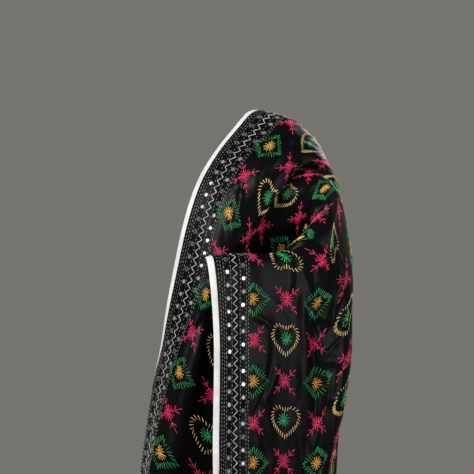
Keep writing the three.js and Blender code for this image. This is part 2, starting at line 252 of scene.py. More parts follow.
class Drape:
    """Where every place of the draped cloth lies, and the grid that its pieces share."""

    def __init__(self, crease_depth, ripple):
        self.crease_depth, self.ripple = crease_depth, ripple
        self.random_creases = scattered_creases()
        self.net = self.make_net()
        self.across = self.cross_places()
        self.along = self.length_places()
        self.points, self.normals = self.grid(self.across, self.along)

    def make_net(self):
        """Even places across and along the cloth, measured along each thread."""
        across = np.arange(0, CLOTH_WIDTH + 1, NET_STEP)
        along = np.arange(-CLOTH_LENGTH / 2, CLOTH_LENGTH / 2 + 1, NET_STEP)
        knots = np.array([across_line(row, across) for row in LINES])
        net = np.zeros((len(across), len(along), 3))
        for i in range(len(across)):
            dense = curve_through(knots[:, i])
            reach = np.concatenate([[0], np.cumsum(np.linalg.norm(np.diff(dense, axis=0), axis=1))])
            wanted = reach[REST_LINE * CURVE_PIECES] - along
            for k in range(3):
                net[i, :, k] = np.interp(wanted, reach, dense[:, k])
        for _ in range(NET_PASSES):
            mean = (net[:-2, 1:-1] + net[2:, 1:-1] + net[1:-1, :-2] + net[1:-1, 2:]) / 4
            net[1:-1, 1:-1] += NET_PULL * (mean - net[1:-1, 1:-1])
        return net

    def even(self, a, u):
        """The cloth without its pleat, folds and creases."""
        fa = np.clip(a / NET_STEP, 0, self.net.shape[0] - 1)
        fb = np.clip((u + CLOTH_LENGTH / 2) / NET_STEP, 0, self.net.shape[1] - 1)
        i = np.minimum(fa.astype(int), self.net.shape[0] - 2)
        j = np.minimum(fb.astype(int), self.net.shape[1] - 2)
        ca, cb = cubic_shares(fa - i), cubic_shares(fb - j)
        total = 0
        for k in range(4):
            for m in range(4):
                ii = np.clip(i + k - 1, 0, self.net.shape[0] - 1)
                jj = np.clip(j + m - 1, 0, self.net.shape[1] - 1)
                total = total + (ca[k] * cb[m])[..., None] * self.net[ii, jj]
        return total

    def surface(self, a, u):
        """The middle of the cloth, in millimetres from the middle of the neck."""
        p = self.even(a, u)
        side = self.even(a + PROBE, u) - self.even(a - PROBE, u)
        run = self.even(a, u + PROBE) - self.even(a, u - PROBE)
        out = unit(np.cross(side, run))
        p = p + out * (fold_height(a, u) + self.crease_height(a, u))[..., None]
        for inside, turn, way in ((a, NECK_ROLL, 1), (CLOTH_WIDTH - a, WRIST_ROLL, -1)):
            rolled = 0.5 * (ROLL_WIDTH - inside
                            + np.sqrt((ROLL_WIDTH - inside) ** 2 + ROLL_SOFTNESS ** 2))
            p = p + (way * unit(side) * (1 - cos(turn)) - out * sin(turn)) * rolled[..., None]
        shift, lift = pleat_shift(a, u)
        centre, reach = np.full_like(a, PLEAT_EDGE + PLEAT_BETWEEN), PLEAT_REACH * PLEAT_BETWEEN
        over = unit(self.even(centre + reach, u) - self.even(centre - reach, u))
        fall = self.even(centre, u + PLEAT_PROBE) - self.even(centre, u - PLEAT_PROBE)
        return p + over * shift[..., None] + unit(np.cross(over, fall)) * lift[..., None]

    def crease_height(self, a, u):
        """How far the small creases and the slight waviness stand out.

        A crease is a ridge with a shallow hollow beside it. It bends a little and fades at both ends.
        """
        total = np.zeros_like(a)
        for a1, u1, a2, u2, width, height in CREASES + self.random_creases:
            length = np.hypot(a2 - a1, u2 - u1)
            ca, cu = (a2 - a1) / length, (u2 - u1) / length
            t = ((a - a1) * ca + (u - u1) * cu) / length
            near = (t > -0.2) & (t < 1.2)
            bend = 0.09 * length * np.sin(pi * t)
            x = ((a - a1) * cu - (u - u1) * ca + bend) / width
            near &= np.abs(x) < 5
            ridge = np.exp(-x * x) - 0.55 * np.exp(-((x - 1.9) / 1.6) ** 2)
            total += np.where(near, height * ridge * ease((t + 0.2) / 0.5) * ease((1.2 - t) / 0.5), 0)
        waves = (
            np.sin(a / 17 + 1.9 * np.sin(u / 240) + 0.8)
            * (0.5 + 0.5 * np.sin(u / 170 + a / 130 + 1.1))
            + 0.6 * np.sin(a / 8.3 + 1.3 * np.sin(u / 110 + 2) + u / 90)
            * (0.5 + 0.5 * np.sin(u / 95 - a / 70))
        )
        total += self.ripple * waves
        return self.crease_depth * total * calm(a, u)

    def cross_places(self):
        places, last = [], CLOTH_WIDTH - TRIM_WIDTH - EDGE_GAP
        a = TRIM_WIDTH + EDGE_GAP
        while a < last - 2:
            places.append(a)
            near = min(abs(a - PLEAT_EDGE), abs(a - PLEAT_EDGE - PLEAT_BETWEEN))
            a += STEP_AT_TURN if near < AT_TURN else STEP_NEAR_TURN if near < NEAR_TURN else STEP_FREE
        return np.array(places + [last])

    def length_places(self):
        end = CLOTH_LENGTH / 2 - TRIM_WIDTH
        return np.concatenate([
            np.linspace(-end, FRONT_SEAM, ROWS_FRONT)[:-1],
            np.linspace(FRONT_SEAM, BACK_SEAM, ROWS_SHOULDER)[:-1],
            np.linspace(BACK_SEAM, end, ROWS_BACK),
        ])

    def grid(self, across, along):
        """Points and outward directions on a grid, in metres from where the cloth rests."""
        a, u = np.meshgrid(across, along)
        points = (self.surface(a, u) - np.array(HOLD)) * MM
        side, run = np.gradient(points, axis=1), np.gradient(points, axis=0)
        return points, unit(np.cross(side, run))

    def place(self, a, u):
        """Points on the cloth's own facets, and outward directions there."""
        a, u = np.asarray(a, float), np.asarray(u, float)
        i = np.clip(np.searchsorted(self.across, a) - 1, 0, len(self.across) - 2)
        j = np.clip(np.searchsorted(self.along, u) - 1, 0, len(self.along) - 2)
        fa = ((a - self.across[i]) / (self.across[i + 1] - self.across[i]))[..., None]
        fu = ((u - self.along[j]) / (self.along[j + 1] - self.along[j]))[..., None]
        mixed = []
        for of in (self.points, self.normals):
            low = of[j, i] * (1 - fa) + of[j, i + 1] * fa
            high = of[j + 1, i] * (1 - fa) + of[j + 1, i + 1] * fa
            mixed.append(low * (1 - fu) + high * fu)
        return mixed[0], unit(mixed[1])


def across_line(rows, across):
    """Smooth curve through one line of the table, at places across the cloth."""
    known, p = np.array(ACROSS, float), np.array(rows, float)
    i = np.clip(np.searchsorted(known[1:], across), 0, len(known) - 2)
    low, high = np.maximum(i - 1, 0), np.minimum(i + 2, len(known) - 1)
    span = (known[i + 1] - known[i])[:, None]
    f = ((across - known[i]) / span[:, 0])[:, None]
    m1 = (p[i + 1] - p[low]) / (known[i + 1] - known[low])[:, None] * span
    m2 = (p[high] - p[i]) / (known[high] - known[i])[:, None] * span
    f2, f3 = f * f, f * f * f
    return ((2 * f3 - 3 * f2 + 1) * p[i] + (f3 - 2 * f2 + f) * m1
            + (3 * f2 - 2 * f3) * p[i + 1] + (f3 - f2) * m2)


def curve_through(knots):
    """Curve through knots that doesn't overshoot where they are close."""
    ends = np.vstack([2 * knots[0] - knots[1], knots, 2 * knots[-1] - knots[-2]])
    f = (np.arange(CURVE_PIECES) / CURVE_PIECES)[:, None]
    out = []
    for k in range(len(knots) - 1):
        p0, p1, p2, p3 = ends[k:k + 4]
        d0, d1, d2 = (np.sum((b - a) ** 2) ** 0.25 for a, b in ((p0, p1), (p1, p2), (p2, p3)))
        t1 = ((p1 - p0) / d0 - (p2 - p0) / (d0 + d1) + (p2 - p1) / d1) * d1
        t2 = ((p2 - p1) / d1 - (p3 - p1) / (d1 + d2) + (p3 - p2) / d2) * d1
        c2, c3 = -3 * p1 + 3 * p2 - 2 * t1 - t2, 2 * p1 - 2 * p2 + t1 + t2
        out.append(p1 + t1 * f + c2 * f * f + c3 * f * f * f)
    return np.vstack(out + [knots[-1:]])


def cubic_shares(f):
    """How much each of four neighbours counts at a place between the middle two."""
    return (
        0.5 * (-f + 2 * f * f - f ** 3),
        0.5 * (2 - 5 * f * f + 3 * f ** 3),
        0.5 * (f + 4 * f * f - 3 * f ** 3),
        0.5 * (-f * f + f ** 3),
    )


def pleat_shift(a, u):
    """How far the pleat moves the cloth sideways and outwards."""
    strength = (ease((PLEAT_FROM + PLEAT_FADE - u) / PLEAT_FADE)
                * ease((u - PLEAT_TO + PLEAT_FADE_LOW) / PLEAT_FADE_LOW))
    x = a - PLEAT_EDGE

    def corner(v):
        return 0.5 * (v + np.sqrt(v * v + PLEAT_TURN ** 2 * PLEAT_ROUNDNESS))

    side = PLEAT_DEPTH / PLEAT_BETWEEN * (
        2 * corner(x - PLEAT_BETWEEN) - corner(x) - corner(x - 2 * PLEAT_BETWEEN))
    roll = PLEAT_TURN + (PLEAT_BETWEEN - PLEAT_TURN) * (1 - strength)
    fall = ease((x + roll / 2) / roll) + ease((x - PLEAT_BETWEEN + roll / 2) / roll)
    back = ease((x - 2 * PLEAT_BETWEEN) / PLEAT_RECOVER)
    return strength ** 2 * side, np.sqrt(strength) * PLEAT_DROP * (back - 0.5 * fall)


def fold_height(a, u):
    """How far the main folds and flutes stand out."""
    total = np.zeros_like(a)
    for across, drift, width, height, start, stop, soft in FOLDS:
        x = (a - across - drift * u / 1000) / width
        rise = height * ease((u - start) / soft) * ease((stop - u) / soft)
        total += rise * np.exp(-x * x) * (abs(x) < 3)
    for start, stop, first, last, count, height in FLUTES:
        grown = ease((u - start) / (stop - start)) * ease((a - first) / 50) * ease((last - a) / 50)
        turn = (a - first) / (last - first)
        wander = 0.35 * np.sin(5.1 * turn + 0.0021 * u) + 0.2 * np.sin(11.3 * turn)
        total += height * grown * np.sin(2 * pi * (count * turn + wander))
    return total


def calm(a, u):
    """1 where the cloth lies free, and near 0 where its layers lie close together."""
    pleat, crook = (
        ease((a - a1) / soft1) * ease((a2 - a) / soft2) * ease((u2 - u) / soft4) * ease((u - u1) / soft3)
        for a1, soft1, a2, soft2, u1, soft3, u2, soft4 in CLOSE_LAYERS
    )
    return 1 - 0.9 * np.maximum(pleat, crook)


def scattered_creases():
    """Short soft creases, uneven in length, depth and spacing, and steeper on the hanging parts."""
    rng = np.random.default_rng(11)
    rows = []
    for _ in range(190):
        a, u = rng.uniform(105, 920), rng.uniform(-1060, 1060)
        hanging = u < FRONT_SEAM or u > BACK_SEAM
        turn = rng.normal(0, radians(16 if hanging else 38))
        length = rng.uniform(60, 210) if hanging else rng.uniform(40, 120)
        width, height = rng.uniform(5, 12), rng.uniform(0.7, 2.1) * rng.choice([-1, 1], p=[0.3, 0.7])
        da, du = length / 2 * sin(turn), length / 2 * cos(turn)
        rows.append((a - da, u - du, a + da, u + du, width, height))
    return tuple(rows)


# Mesh and material helpers

EMBOSS_DEPTH = 0.0003


def new_object(name, mesh):
    piece = bpy.data.objects.new(name, mesh)
    bpy.context.scene.collection.objects.link(piece)
    return piece


def shell_mesh(name, outer, inner, uv, material):
    """A closed shell between two grids of points, with the grid's own places as its UV map."""
    rows, columns = outer.shape[:2]
    grid = np.arange(rows * columns).reshape(rows, columns)
    below = grid + rows * columns
    quads = [
        np.stack([grid[:-1, :-1], grid[:-1, 1:], grid[1:, 1:], grid[1:, :-1]], -1).reshape(-1, 4),
        np.stack([below[:-1, :-1], below[1:, :-1], below[1:, 1:], below[:-1, 1:]], -1).reshape(-1, 4),
        np.stack([grid[0, 1:], grid[0, :-1], below[0, :-1], below[0, 1:]], -1),
        np.stack([grid[-1, :-1], grid[-1, 1:], below[-1, 1:], below[-1, :-1]], -1),
        np.stack([grid[:-1, 0], grid[1:, 0], below[1:, 0], below[:-1, 0]], -1),
        np.stack([grid[1:, -1], grid[:-1, -1], below[:-1, -1], below[1:, -1]], -1),
    ]
    quads = np.vstack(quads)
    points = np.vstack([outer.reshape(-1, 3), inner.reshape(-1, 3)])
    mesh = bpy.data.meshes.new(name)
    mesh.vertices.add(len(points))
    mesh.vertices.foreach_set("co", points.astype(np.float32).ravel())
    mesh.loops.add(quads.size)
    mesh.loops.foreach_set("vertex_index", quads.astype(np.int32).ravel())
    mesh.polygons.add(len(quads))
    mesh.polygons.foreach_set("loop_start", np.arange(0, quads.size, 4, dtype=np.int32))
    mesh.polygons.foreach_set("use_smooth", np.ones(len(quads), bool))
    mesh.update(calc_edges=True)
    places = np.vstack([uv.reshape(-1, 2), uv.reshape(-1, 2)])
    layer = mesh.uv_layers.new(name="cloth_uv")
    layer.data.foreach_set("uv", places[quads.ravel()].astype(np.float32).ravel())
    mesh.materials.append(material)
    mesh.validate()
    return mesh


class Nodes:
    """Short way to build a material's or a geometry tree's nodes."""

    def __init__(self, tree):
        self.tree = tree

    def add(self, kind, **settings):
        node = self.tree.nodes.new(kind)
        for key, value in settings.items():
            setattr(node, key, value)
        return node

    def link(self, start, stop):
        self.tree.links.new(start, stop)


def shader(name):
    material = bpy.data.materials.new(name)
    material.use_nodes = True
    nodes = Nodes(material.node_tree)
    return material, nodes, material.node_tree.nodes["Principled BSDF"]


def ramp(nodes, source, low, high, start=0.3, stop=0.7):
    node = nodes.add("ShaderNodeValToRGB")
    node.color_ramp.elements[0].position, node.color_ramp.elements[1].position = start, stop
    node.color_ramp.elements[0].color, node.color_ramp.elements[1].color = (*low, 1), (*high, 1)
    nodes.link(source, node.inputs["Fac"])
    return node.outputs["Color"]


def spots(nodes, scale, detail=2.0):
    """Soft uneven spots over the piece."""
    where = nodes.add("ShaderNodeTexCoord")
    noise = nodes.add("ShaderNodeTexNoise")
    noise.inputs["Scale"].default_value, noise.inputs["Detail"].default_value = scale, detail
    nodes.link(where.outputs["Object"], noise.inputs["Vector"])
    return noise.outputs["Fac"]


def emboss(nodes, surface, height, strength):
    bump = nodes.add("ShaderNodeBump")
    bump.inputs["Strength"].default_value = strength
    bump.inputs["Distance"].default_value = EMBOSS_DEPTH
    nodes.link(height, bump.inputs["Height"])
    nodes.link(bump.outputs["Normal"], surface.inputs["Normal"])


def vary_roughness(nodes, surface, source, low, high):
    rough = nodes.add("ShaderNodeMapRange")
    rough.inputs["To Min"].default_value, rough.inputs["To Max"].default_value = low, high
    nodes.link(source, rough.inputs["Value"])
    nodes.link(rough.outputs["Result"], surface.inputs["Roughness"])


def woven_height(nodes, across_pitch, along_pitch, slub):
    """Height of a plain weave with uneven yarns, laid out by the piece's own UV map in metres."""
    uv = nodes.add("ShaderNodeUVMap", uv_map="cloth_uv")
    heights = []
    for scale in ((1 / across_pitch, slub / along_pitch), (slub / across_pitch, 1 / along_pitch)):
        stretch = nodes.add("ShaderNodeMapping")
        stretch.inputs["Scale"].default_value = (scale[0], scale[1], 1)
        nodes.link(uv.outputs["UV"], stretch.inputs["Vector"])
        yarn = nodes.add("ShaderNodeTexNoise")
        yarn.inputs["Scale"].default_value, yarn.inputs["Detail"].default_value = 1.0, 2.0
        nodes.link(stretch.outputs["Vector"], yarn.inputs["Vector"])
        heights.append(yarn.outputs["Fac"])
    both = nodes.add("ShaderNodeMath", operation="ADD")
    nodes.link(heights[0], both.inputs[0])
    nodes.link(heights[1], both.inputs[1])
    return both.outputs[0]


def silk(settings):
    """Black silk: fine uneven weave, soft grey sheen and slight unevenness of the dye."""
    material, nodes, surface = shader("black_silk")
    weave = woven_height(nodes, across_pitch=0.0012, along_pitch=0.0012, slub=0.04)
    emboss(nodes, surface, weave, strength=0.35)
    dye = spots(nodes, scale=9.0, detail=3.0)
    mixed = nodes.add("ShaderNodeMath", operation="MULTIPLY_ADD")
    mixed.inputs[1].default_value = 0.35
    nodes.link(weave, mixed.inputs[0])
    nodes.link(dye, mixed.inputs[2])
    ground = np.array(settings.ground_colour)
    nodes.link(ramp(nodes, mixed.outputs[0], ground * 0.55, ground * 1.7, start=0.45, stop=1.2),
               surface.inputs["Base Color"])
    vary_roughness(nodes, surface, dye, low=0.27, high=0.42)
    surface.inputs["Specular IOR Level"].default_value = 0.085
    surface.inputs["Sheen Weight"].default_value = settings.sheen
    surface.inputs["Sheen Roughness"].default_value = 0.35
    surface.inputs["Sheen Tint"].default_value = (0.55, 0.57, 0.63, 1)
    return material


def satin_tape(settings):
    """White satin tape with a fine rib and faint grey spots scattered at random."""
    material, nodes, surface = shader("white_satin_tape")
    weave = woven_height(nodes, across_pitch=0.0009, along_pitch=0.0014, slub=0.15)
    emboss(nodes, surface, weave, strength=0.3)
    white = np.array(settings.white_colour)
    nodes.link(ramp(nodes, spots(nodes, scale=35.0), white * 0.82, white, start=0.25, stop=0.6),
               surface.inputs["Base Color"])
    surface.inputs["Roughness"].default_value = 0.48
    surface.inputs["Sheen Weight"].default_value = 0.2
    return material


def floss(name, colour):
    """Glossy floss: every stitch is a little lighter or darker, and finely uneven."""
    material, nodes, surface = shader(name)
    shade = nodes.add("ShaderNodeAttribute", attribute_name="shade")
    colour = np.array(colour)
    dark, light = colour * 0.62, np.minimum(colour * 1.25 + 0.01, 1)
    nodes.link(ramp(nodes, shade.outputs["Fac"], dark, light, start=0, stop=1),
               surface.inputs["Base Color"])
    emboss(nodes, surface, spots(nodes, scale=1600.0), strength=0.4)
    surface.inputs["Roughness"].default_value = 0.42
    surface.inputs["Sheen Weight"].default_value = 0.04
    return material


def mirror_glass():
    """Small silvered mirrors, some bright and some dull."""
    material, nodes, surface = shader("mirror_glass")
    shade = nodes.add("ShaderNodeAttribute", attribute_name="shade")
    dull, bright = (0.16, 0.17, 0.18), (0.93, 0.93, 0.92)
    nodes.link(ramp(nodes, shade.outputs["Fac"], dull, bright, start=0.25, stop=0.6),
               surface.inputs["Base Color"])
    vary_roughness(nodes, surface, spots(nodes, scale=260.0), low=0.1, high=0.34)
    surface.inputs["Metallic"].default_value = 0.85
    return material


# Stitches and mirrors, laid by geometry nodes

DISC_SIDES = 14
# A stitch is a ball drawn out along the thread by this much and cut flat at both ends
STITCH_FULLNESS = 1.75
# A stitch's middle lies on the cloth by this share, and by the rest on the straight line between
# its ends. On the right side it stands out by this share of its height
BEND_SHARE, RAISED_SHARE = 0.6, 0.25


def laying_tree(name, disc):
    """A tree that lays one shape on every point: a stitch along the point's run, or a disc."""
    tree = bpy.data.node_groups.new(name, "GeometryNodeTree")
    ask = {}
    for title, kind in (
        ("Geometry", "Geometry"), ("Width", "Float"), ("Height", "Float"), ("Material", "Material"),
    ):
        socket = tree.interface.new_socket(title, in_out="INPUT", socket_type="NodeSocket" + kind)
        ask[title] = socket.identifier
    tree.interface.new_socket("Geometry", in_out="OUTPUT", socket_type="NodeSocketGeometry")
    nodes = Nodes(tree)
    given, result = nodes.add("NodeGroupInput"), nodes.add("NodeGroupOutput")
    lay = nodes.add("GeometryNodeInstanceOnPoints")
    nodes.link(given.outputs["Geometry"], lay.inputs["Points"])
    named = {}
    for title, kind in (
        ("run", "FLOAT_VECTOR"), ("rise", "FLOAT_VECTOR"), ("length", "FLOAT"), ("width", "FLOAT"),
    ):
        named[title] = nodes.add("GeometryNodeInputNamedAttribute", data_type=kind)
        named[title].inputs["Name"].default_value = title
    size = nodes.add("ShaderNodeCombineXYZ")
    wide = nodes.add("ShaderNodeMath", operation="MULTIPLY")
    nodes.link(named["width"].outputs["Attribute"], wide.inputs[0])
    nodes.link(given.outputs["Width"], wide.inputs[1])
    if disc:
        shape = nodes.add("GeometryNodeMeshCylinder")
        shape.inputs["Vertices"].default_value = DISC_SIDES
        shape.inputs["Radius"].default_value, shape.inputs["Depth"].default_value = 0.5, 1.0
        turned = nodes.add("FunctionNodeAlignRotationToVector", axis="Z")
        nodes.link(named["rise"].outputs["Attribute"], turned.inputs["Vector"])
        for axis in ("X", "Y"):
            nodes.link(wide.outputs[0], size.inputs[axis])
        nodes.link(given.outputs["Height"], size.inputs["Z"])
    else:
        shape = nodes.add("GeometryNodeMeshIcoSphere")
        shape.inputs["Radius"].default_value, shape.inputs["Subdivisions"].default_value = 0.5, 1
        place, split = nodes.add("GeometryNodeInputPosition"), nodes.add("ShaderNodeSeparateXYZ")
        fuller, ends = nodes.add("ShaderNodeMath", operation="MULTIPLY"), nodes.add("ShaderNodeClamp")
        joined, plump = nodes.add("ShaderNodeCombineXYZ"), nodes.add("GeometryNodeSetPosition")
        fuller.inputs[1].default_value = STITCH_FULLNESS
        ends.inputs["Min"].default_value, ends.inputs["Max"].default_value = -0.5, 0.5
        nodes.link(place.outputs["Position"], split.inputs["Vector"])
        nodes.link(split.outputs["Z"], fuller.inputs[0])
        nodes.link(fuller.outputs[0], ends.inputs["Value"])
        nodes.link(split.outputs["X"], joined.inputs["X"])
        nodes.link(split.outputs["Y"], joined.inputs["Y"])
        nodes.link(ends.outputs["Result"], joined.inputs["Z"])
        nodes.link(shape.outputs["Mesh"], plump.inputs["Geometry"])
        nodes.link(joined.outputs["Vector"], plump.inputs["Position"])
        shape = plump
        along = nodes.add("FunctionNodeAlignRotationToVector", axis="Z")
        nodes.link(named["run"].outputs["Attribute"], along.inputs["Vector"])
        turned = nodes.add("FunctionNodeAlignRotationToVector", axis="X", pivot_axis="Z")
        nodes.link(along.outputs["Rotation"], turned.inputs["Rotation"])
        nodes.link(named["rise"].outputs["Attribute"], turned.inputs["Vector"])
        nodes.link(given.outputs["Height"], size.inputs["X"])
        nodes.link(wide.outputs[0], size.inputs["Y"])
        nodes.link(named["length"].outputs["Attribute"], size.inputs["Z"])
    nodes.link(shape.outputs[0], lay.inputs["Instance"])
    nodes.link(turned.outputs["Rotation"], lay.inputs["Rotation"])
    nodes.link(size.outputs["Vector"], lay.inputs["Scale"])
    real = nodes.add("GeometryNodeRealizeInstances")
    nodes.link(lay.outputs["Instances"], real.inputs["Geometry"])
    smooth = nodes.add("GeometryNodeSetShadeSmooth")
    smooth.inputs["Shade Smooth"].default_value = not disc
    nodes.link(real.outputs["Geometry"], smooth.inputs["Geometry"])
    paint = nodes.add("GeometryNodeSetMaterial")
    nodes.link(smooth.outputs["Geometry"], paint.inputs["Geometry"])
    nodes.link(given.outputs["Material"], paint.inputs["Material"])
    nodes.link(paint.outputs["Geometry"], result.inputs["Geometry"])
    return tree, ask


def lay_on_cloth(name, stitches, material, height, seed, disc=False, width=1.0, both_sides=True):
    """Lay stitches or discs, given by their ends and width in millimetres of cloth, as one plain mesh.

    With both sides, the same stitches also show on the reverse, sunk a little deeper there.
    """
    rows = np.array(stitches, float)
    limit = CLOTH_LENGTH / 2 - 1
    rows[:, 1], rows[:, 3] = np.clip(rows[:, 1], -limit, limit), np.clip(rows[:, 3], -limit, limit)
    start, _ = DRAPE.place(rows[:, 0], rows[:, 1])
    stop, _ = DRAPE.place(rows[:, 2], rows[:, 3])
    middle, rise = DRAPE.place((rows[:, 0] + rows[:, 2]) / 2, (rows[:, 1] + rows[:, 3]) / 2)
    run = stop - start
    length, breadth = np.linalg.norm(run, axis=1), rows[:, 4] * MM
    shell = bpy.context.scene.dupatta_cloth.thickness
    inside = middle * BEND_SHARE + (start + stop) * (1 - BEND_SHARE) / 2
    centres = inside + rise * (shell / 2 + height * RAISED_SHARE)
    if both_sides:
        centres = np.vstack([centres, inside - rise * shell / 2])
        rise, run = np.vstack([rise, -rise]), np.vstack([run, run])
        length, breadth = np.tile(length, 2), np.tile(breadth, 2)
    plan = bpy.data.meshes.new(name)
    plan.vertices.add(len(centres))
    plan.vertices.foreach_set("co", centres.astype(np.float32).ravel())
    shade = np.random.default_rng(seed).random(len(centres))
    for title, kind, key, values in (
        ("run", "FLOAT_VECTOR", "vector", rise if disc else run), ("rise", "FLOAT_VECTOR", "vector", rise),
        ("length", "FLOAT", "value", length), ("width", "FLOAT", "value", breadth),
        ("shade", "FLOAT", "value", shade),
    ):
        layer = plan.attributes.new(title, kind, "POINT")
        layer.data.foreach_set(key, values.astype(np.float32).ravel())
    piece = new_object(name, plan)
    tree, ask = laying_tree("lay_" + name, disc)
    modifier = piece.modifiers.new("Lay", "NODES")
    modifier.node_group = tree
    modifier[ask["Width"]] = width
    modifier[ask["Height"]] = height
    modifier[ask["Material"]] = material
    sight = bpy.context.evaluated_depsgraph_get()
    mesh = bpy.data.meshes.new_from_object(piece.evaluated_get(sight), depsgraph=sight)
    piece.modifiers.remove(modifier)
    piece.data = mesh
    mesh.name = name
    for title in ("run", "rise", "length", "width"):
        if title in mesh.attributes:
            mesh.attributes.remove(mesh.attributes[title])
    bpy.data.meshes.remove(plan)
    if not mesh.polygons:
        raise RuntimeError(name + " came out empty")
    return piece


def fasten(piece, slot, *nodes):
    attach(piece, "root")
    if nodes:
        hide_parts(*nodes)
    return piece


# The embroidery's chart, in millimetres of cloth

def field_places():
    """Every motif of the field: kind, across, along, and which way is up."""
    for row in range(-ROWS_EACH_WAY, ROWS_EACH_WAY + 1):
        along = FRONT_ROW + FRONT_ROW_STEP * row if row <= 0 else BACK_ROW + BACK_ROW_STEP * row
        for column in range(COLUMNS):
            odd = column % 2 == 0
            kind = "star" if odd == (row % 2 == 0) else ("diamond" if odd else "heart")
            yield kind, COLUMN_FIRST + COLUMN_STEP * column, along, (1 if row <= 0 else -1)


def burst(rays, first, last, width, rng):
    """Rays from near the middle, a little uneven in turn and length."""
    for k in range(rays):
        turn = 2 * pi * (k + 0.25) / rays + rng.normal(0, 0.05)
        reach = last * (1 + rng.normal(0, 0.06))
        yield (first * cos(turn), first * sin(turn), reach * cos(turn), reach * sin(turn), width)


def star(rng):
    """A burst with four arrows at its corners."""
    yield from burst(*STAR_BURST, rng)
    for k in range(4):
        turn = pi / 4 + k * pi / 2 + rng.normal(0, 0.04)
        c, s = cos(turn), sin(turn)
        for x1, y1, x2, y2 in ARROW:
            yield (x1 * c - y1 * s, x1 * s + y1 * c, x2 * c - y2 * s, x2 * s + y2 * c, ARROW_WIDTH)


def heart(rng):
    """Slanting stitches round a heart."""
    rows = list(HEART_TIPS)
    for x, y, turn in HEART_HALF:
        rows += [(x, y, turn), (-x, y, 180 - turn)]
    for x, y, turn in rows:
        turn = radians(turn) + rng.normal(0, 0.07)
        half = HEART_STITCH + rng.normal(0, 0.5)
        dx, dy = half * cos(turn), half * sin(turn)
        yield (x - dx, y - dy, x + dx, y + dy, HEART_WIDTH)


def heart_centre(rng):
    return burst(*HEART_BURST, rng)


def diamond_centre(rng):
    return burst(*DIAMOND_BURST, rng)


def diamond(rng):
    """Strokes that fan out from the four sides of a diamond."""
    for k in range(4 * DIAMOND_STROKES):
        t = (k % DIAMOND_STROKES + 0.5) / DIAMOND_STROKES
        turn = (k // DIAMOND_STROKES) * pi / 2
        out = turn + pi / 4 + (t - 0.5) * DIAMOND_FAN + rng.normal(0, 0.09)
        x, y = DIAMOND_CORNER * (1 - t), DIAMOND_CORNER * t
        x, y = x * cos(turn) - y * sin(turn), DIAMOND_FLATNESS * (x * sin(turn) + y * cos(turn))
        half = DIAMOND_STITCH + rng.normal(0, 1.0)
        dx, dy = half * cos(out), half * sin(out)
        yield (x - dx, y - dy, x + dx, y + dy, DIAMOND_WIDTH)


def field_stitches(kind, draw, seed, lift=0):
    """All stitches of one motif, over the whole field."""
    rng = np.random.default_rng(seed)
    rows = []
    for name, across, along, up in field_places():
        if name == kind:
            across, along = across + rng.normal(0, 1.2), along + rng.normal(0, 1.2)
            for x1, y1, x2, y2, width in draw(rng):
                a1, a2 = (min(across + x, FIELD_END) for x in (x1, x2))
                if a1 < FIELD_END or a2 < FIELD_END:
                    rows.append((a1, along + up * (y1 + lift), a2, along + up * (y2 + lift), width))
    return rows


def both_edges(rows):
    return list(rows) + [(CLOTH_WIDTH - a1, u1, CLOTH_WIDTH - a2, u2, w) for a1, u1, a2, u2, w in rows]


def both_ends(rows):
    return list(rows) + [(a1, -u1, a2, -u2, w) for a1, u1, a2, u2, w in rows]


def running_stitches(seed):
    """Lines of short white stitches along the edges and across the ends."""
    rng, rows = np.random.default_rng(seed), []
    end = CLOTH_LENGTH / 2
    for line in RUNNING_LINES:
        u = -end + TRIM_WIDTH + RUNNING_ENDS[0]
        while u < end - TRIM_WIDTH - RUNNING_ENDS[1]:
            length = RUNNING_LENGTH + rng.normal(0, 0.7)
            a1, a2 = line + rng.normal(0, 0.25), line + rng.normal(0, 0.25)
            rows.append((a1, u, a2, u + length, RUNNING_WIDTH))
            u += length + RUNNING_GAP + rng.normal(0, 0.4)
    rows = both_edges(rows)
    ends = []
    for line in END_LINES:
        a = RUNNING_SIDES[0]
        while a < CLOTH_WIDTH - RUNNING_SIDES[1]:
            length = RUNNING_LENGTH + rng.normal(0, 0.7)
            ends.append((a, end - line, a + length, end - line, RUNNING_WIDTH))
            a += length + RUNNING_GAP
    return rows + both_ends(ends)


def zigzag_stitches(pitch):
    """A white zigzag along both edges, two stitches to a stroke."""
    rows, end = [], CLOTH_LENGTH / 2 - TRIM_WIDTH - 6
    strokes = int(2 * end / (pitch / 2))
    for k in range(strokes):
        u1, u2 = (-end + pitch / 2 * (k + t) for t in (0, 1))
        a1, a2 = (ZIGZAG[(k + t) % 2] for t in (0, 1))
        am, um = (a1 + a2) / 2, (u1 + u2) / 2
        da, du = (a2 - a1) * 0.04, (u2 - u1) * 0.04
        rows += [(a1, u1, am + da, um + du, ZIGZAG_WIDTH), (am - da, um - du, a2, u2, ZIGZAG_WIDTH)]
    return both_edges(rows)


def mirror_places(pitch):
    """Two staggered lines along each long edge, and one across each end."""
    end, rows = CLOTH_LENGTH / 2 - TRIM_WIDTH - 14, []
    for k, line in enumerate(MIRROR_LINES):
        for u in np.arange(-end + k * pitch / 2, end, pitch):
            rows.append((line, u))
    rows += [(CLOTH_WIDTH - a, u) for a, u in rows]
    return rows + [(a, s * (CLOTH_LENGTH / 2 - END_MIRROR_LINE)) for s in (-1, 1)
                   for a in np.arange(120, CLOTH_WIDTH - 118, pitch * 1.03)]


# Settings

